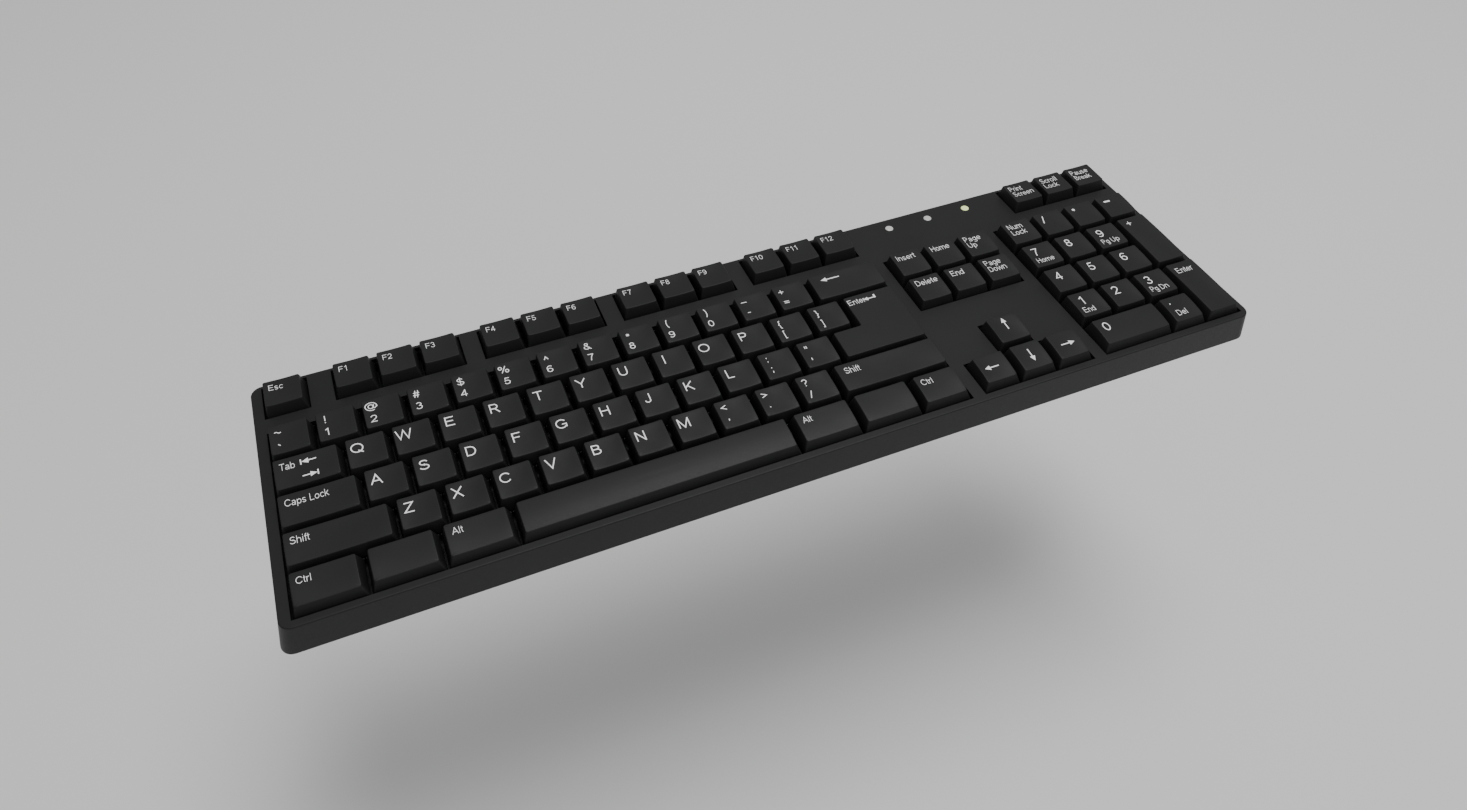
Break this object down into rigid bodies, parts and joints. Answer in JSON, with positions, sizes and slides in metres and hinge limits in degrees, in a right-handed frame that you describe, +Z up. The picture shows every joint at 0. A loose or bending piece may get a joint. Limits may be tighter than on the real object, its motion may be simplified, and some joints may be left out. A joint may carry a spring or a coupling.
{
  "type": "mechanical keyboard",
  "caption": "Full-size wired mechanical keyboard with sculpted dark keycaps, number pad and flip-out feet in a flat slab case.",
  "frame": {"origin": "centre of the footprint, on the surface it rests on", "axes": "+X along the keyboard to the number pad's side, +Y away from the user, +Z up"},
  "size_m": [0.4476, 0.1282, 0.0239],
  "materials": {
    "key_plastic": "lightly textured dark grey",
    "case_plastic": "fine matte texture, dark grey",
    "base_plastic": "matte dark grey",
    "housing_plastic": "moulded black",
    "spring_steel": "bright wire",
    "contact_brass": "stamped leaf",
    "foot_rubber": "matte",
    "screw_steel": "zinc plated",
    "plate_paint": "satin black",
    "board_mask": "green solder mask",
    "component_body": "moulded black",
    "crystal_can": "bright can",
    "socket_shell": "bright stamped shell",
    "led_body": "clear moulded",
    "light_lens": "translucent grey white"
  },
  "bodies": {
    "case": {"switch_lower_housings": "housing_plastic", "switch_upper_housings": "housing_plastic", "switch_springs": "spring_steel", "switch_contacts": "contact_brass", "stabilizer_housings": "housing_plastic", "stabilizer_wires": "spring_steel", "top_case": "case_plastic", "bottom_case": "base_plastic", "rubber_feet": "foot_rubber", "case_screws": "screw_steel", "switch_plate": "plate_paint", "circuit_board": "board_mask", "switch_diodes": "component_body", "controller_chip": "component_body", "crystal": "crystal_can", "capacitors": "component_body", "usb_socket": "socket_shell", "lock_light_leds": "led_body", "lock_light_lenses": "light_lens"},
    "escape_key": {"escape_key": "key_plastic"},
    "function_keys": {"function_keys": "key_plastic"},
    "number_row_keys": {"number_row_keys": "key_plastic"},
    "backspace_key": {"backspace_key": "key_plastic"},
    "tab_key": {"tab_key": "key_plastic"},
    "upper_letter_keys": {"upper_letter_keys": "key_plastic"},
    "caps_lock_key": {"caps_lock_key": "key_plastic"},
    "home_letter_keys": {"home_letter_keys": "key_plastic"},
    "enter_key": {"enter_key": "key_plastic"},
    "left_shift_key": {"left_shift_key": "key_plastic"},
    "lower_letter_keys": {"lower_letter_keys": "key_plastic"},
    "right_shift_key": {"right_shift_key": "key_plastic"},
    "left_ctrl_key": {"left_ctrl_key": "key_plastic"},
    "left_blank_key": {"left_blank_key": "key_plastic"},
    "left_alt_key": {"left_alt_key": "key_plastic"},
    "space_bar": {"space_bar": "key_plastic"},
    "right_alt_key": {"right_alt_key": "key_plastic"},
    "right_blank_key": {"right_blank_key": "key_plastic"},
    "right_ctrl_key": {"right_ctrl_key": "key_plastic"},
    "insert_key": {"insert_key": "key_plastic"},
    "home_key": {"home_key": "key_plastic"},
    "page_up_key": {"page_up_key": "key_plastic"},
    "delete_key": {"delete_key": "key_plastic"},
    "end_key": {"end_key": "key_plastic"},
    "page_down_key": {"page_down_key": "key_plastic"},
    "up_arrow_key": {"up_arrow_key": "key_plastic"},
    "left_arrow_key": {"left_arrow_key": "key_plastic"},
    "down_arrow_key": {"down_arrow_key": "key_plastic"},
    "right_arrow_key": {"right_arrow_key": "key_plastic"},
    "print_screen_key": {"print_screen_key": "key_plastic"},
    "scroll_lock_key": {"scroll_lock_key": "key_plastic"},
    "pause_key": {"pause_key": "key_plastic"},
    "num_lock_key": {"num_lock_key": "key_plastic"},
    "pad_plus_key": {"pad_plus_key": "key_plastic"},
    "pad_enter_key": {"pad_enter_key": "key_plastic"},
    "pad_zero_key": {"pad_zero_key": "key_plastic"},
    "pad_keys": {"pad_keys": "key_plastic"},
    "flip_foot_left": {"flip_foot_left": "base_plastic"},
    "flip_foot_right": {"flip_foot_right": "base_plastic"}
  },
  "joints": [
    {"name": "escape_key_press", "type": "slide", "parent": "case", "child": "escape_key", "axis": [0, 0, -1], "range_m": [0, 0.004], "stiffness_N_per_m": 75, "springref_m": -0.004},
    {"name": "function_keys_press", "type": "slide", "parent": "case", "child": "function_keys", "axis": [0, 0, -1], "range_m": [0, 0.004], "stiffness_N_per_m": 900, "springref_m": -0.004},
    {"name": "number_row_keys_press", "type": "slide", "parent": "case", "child": "number_row_keys", "axis": [0, 0, -1], "range_m": [0, 0.004], "stiffness_N_per_m": 975, "springref_m": -0.004},
    {"name": "backspace_key_press", "type": "slide", "parent": "case", "child": "backspace_key", "axis": [0, 0, -1], "range_m": [0, 0.004], "stiffness_N_per_m": 75, "springref_m": -0.004},
    {"name": "tab_key_press", "type": "slide", "parent": "case", "child": "tab_key", "axis": [0, 0, -1], "range_m": [0, 0.004], "stiffness_N_per_m": 75, "springref_m": -0.004},
    {"name": "upper_letter_keys_press", "type": "slide", "parent": "case", "child": "upper_letter_keys", "axis": [0, 0, -1], "range_m": [0, 0.004], "stiffness_N_per_m": 900, "springref_m": -0.004},
    {"name": "caps_lock_key_press", "type": "slide", "parent": "case", "child": "caps_lock_key", "axis": [0, 0, -1], "range_m": [0, 0.004], "stiffness_N_per_m": 75, "springref_m": -0.004},
    {"name": "home_letter_keys_press", "type": "slide", "parent": "case", "child": "home_letter_keys", "axis": [0, 0, -1], "range_m": [0, 0.004], "stiffness_N_per_m": 825, "springref_m": -0.004},
    {"name": "enter_key_press", "type": "slide", "parent": "case", "child": "enter_key", "axis": [0, 0, -1], "range_m": [0, 0.004], "stiffness_N_per_m": 75, "springref_m": -0.004},
    {"name": "left_shift_key_press", "type": "slide", "parent": "case", "child": "left_shift_key", "axis": [0, 0, -1], "range_m": [0, 0.004], "stiffness_N_per_m": 75, "springref_m": -0.004},
    {"name": "lower_letter_keys_press", "type": "slide", "parent": "case", "child": "lower_letter_keys", "axis": [0, 0, -1], "range_m": [0, 0.004], "stiffness_N_per_m": 750, "springref_m": -0.004},
    {"name": "right_shift_key_press", "type": "slide", "parent": "case", "child": "right_shift_key", "axis": [0, 0, -1], "range_m": [0, 0.004], "stiffness_N_per_m": 75, "springref_m": -0.004},
    {"name": "left_ctrl_key_press", "type": "slide", "parent": "case", "child": "left_ctrl_key", "axis": [0, 0, -1], "range_m": [0, 0.004], "stiffness_N_per_m": 75, "springref_m": -0.004},
    {"name": "left_blank_key_press", "type": "slide", "parent": "case", "child": "left_blank_key", "axis": [0, 0, -1], "range_m": [0, 0.004], "stiffness_N_per_m": 75, "springref_m": -0.004},
    {"name": "left_alt_key_press", "type": "slide", "parent": "case", "child": "left_alt_key", "axis": [0, 0, -1], "range_m": [0, 0.004], "stiffness_N_per_m": 75, "springref_m": -0.004},
    {"name": "space_bar_press", "type": "slide", "parent": "case", "child": "space_bar", "axis": [0, 0, -1], "range_m": [0, 0.004], "stiffness_N_per_m": 75, "springref_m": -0.004},
    {"name": "right_alt_key_press", "type": "slide", "parent": "case", "child": "right_alt_key", "axis": [0, 0, -1], "range_m": [0, 0.004], "stiffness_N_per_m": 75, "springref_m": -0.004},
    {"name": "right_blank_key_press", "type": "slide", "parent": "case", "child": "right_blank_key", "axis": [0, 0, -1], "range_m": [0, 0.004], "stiffness_N_per_m": 75, "springref_m": -0.004},
    {"name": "right_ctrl_key_press", "type": "slide", "parent": "case", "child": "right_ctrl_key", "axis": [0, 0, -1], "range_m": [0, 0.004], "stiffness_N_per_m": 75, "springref_m": -0.004},
    {"name": "insert_key_press", "type": "slide", "parent": "case", "child": "insert_key", "axis": [0, 0, -1], "range_m": [0, 0.004], "stiffness_N_per_m": 75, "springref_m": -0.004},
    {"name": "home_key_press", "type": "slide", "parent": "case", "child": "home_key", "axis": [0, 0, -1], "range_m": [0, 0.004], "stiffness_N_per_m": 75, "springref_m": -0.004},
    {"name": "page_up_key_press", "type": "slide", "parent": "case", "child": "page_up_key", "axis": [0, 0, -1], "range_m": [0, 0.004], "stiffness_N_per_m": 75, "springref_m": -0.004},
    {"name": "delete_key_press", "type": "slide", "parent": "case", "child": "delete_key", "axis": [0, 0, -1], "range_m": [0, 0.004], "stiffness_N_per_m": 75, "springref_m": -0.004},
    {"name": "end_key_press", "type": "slide", "parent": "case", "child": "end_key", "axis": [0, 0, -1], "range_m": [0, 0.004], "stiffness_N_per_m": 75, "springref_m": -0.004},
    {"name": "page_down_key_press", "type": "slide", "parent": "case", "child": "page_down_key", "axis": [0, 0, -1], "range_m": [0, 0.004], "stiffness_N_per_m": 75, "springref_m": -0.004},
    {"name": "up_arrow_key_press", "type": "slide", "parent": "case", "child": "up_arrow_key", "axis": [0, 0, -1], "range_m": [0, 0.004], "stiffness_N_per_m": 75, "springref_m": -0.004},
    {"name": "left_arrow_key_press", "type": "slide", "parent": "case", "child": "left_arrow_key", "axis": [0, 0, -1], "range_m": [0, 0.004], "stiffness_N_per_m": 75, "springref_m": -0.004},
    {"name": "down_arrow_key_press", "type": "slide", "parent": "case", "child": "down_arrow_key", "axis": [0, 0, -1], "range_m": [0, 0.004], "stiffness_N_per_m": 75, "springref_m": -0.004},
    {"name": "right_arrow_key_press", "type": "slide", "parent": "case", "child": "right_arrow_key", "axis": [0, 0, -1], "range_m": [0, 0.004], "stiffness_N_per_m": 75, "springref_m": -0.004},
    {"name": "print_screen_key_press", "type": "slide", "parent": "case", "child": "print_screen_key", "axis": [0, 0, -1], "range_m": [0, 0.004], "stiffness_N_per_m": 75, "springref_m": -0.004},
    {"name": "scroll_lock_key_press", "type": "slide", "parent": "case", "child": "scroll_lock_key", "axis": [0, 0, -1], "range_m": [0, 0.004], "stiffness_N_per_m": 75, "springref_m": -0.004},
    {"name": "pause_key_press", "type": "slide", "parent": "case", "child": "pause_key", "axis": [0, 0, -1], "range_m": [0, 0.004], "stiffness_N_per_m": 75, "springref_m": -0.004},
    {"name": "num_lock_key_press", "type": "slide", "parent": "case", "child": "num_lock_key", "axis": [0, 0, -1], "range_m": [0, 0.004], "stiffness_N_per_m": 75, "springref_m": -0.004},
    {"name": "pad_plus_key_press", "type": "slide", "parent": "case", "child": "pad_plus_key", "axis": [0, 0, -1], "range_m": [0, 0.004], "stiffness_N_per_m": 75, "springref_m": -0.004},
    {"name": "pad_enter_key_press", "type": "slide", "parent": "case", "child": "pad_enter_key", "axis": [0, 0, -1], "range_m": [0, 0.004], "stiffness_N_per_m": 75, "springref_m": -0.004},
    {"name": "pad_zero_key_press", "type": "slide", "parent": "case", "child": "pad_zero_key", "axis": [0, 0, -1], "range_m": [0, 0.004], "stiffness_N_per_m": 75, "springref_m": -0.004},
    {"name": "pad_keys_press", "type": "slide", "parent": "case", "child": "pad_keys", "axis": [0, 0, -1], "range_m": [0, 0.004], "stiffness_N_per_m": 975, "springref_m": -0.004},
    {"name": "flip_foot_left_hinge", "type": "hinge", "parent": "case", "child": "flip_foot_left", "pos_m": [-0.178, 0.04785, 0.0023], "axis": [1, 0, 0], "range_deg": [0, 95]},
    {"name": "flip_foot_right_hinge", "type": "hinge", "parent": "case", "child": "flip_foot_right", "pos_m": [0.178, 0.04785, 0.0023], "axis": [1, 0, 0], "range_deg": [0, 95]}
  ]
}
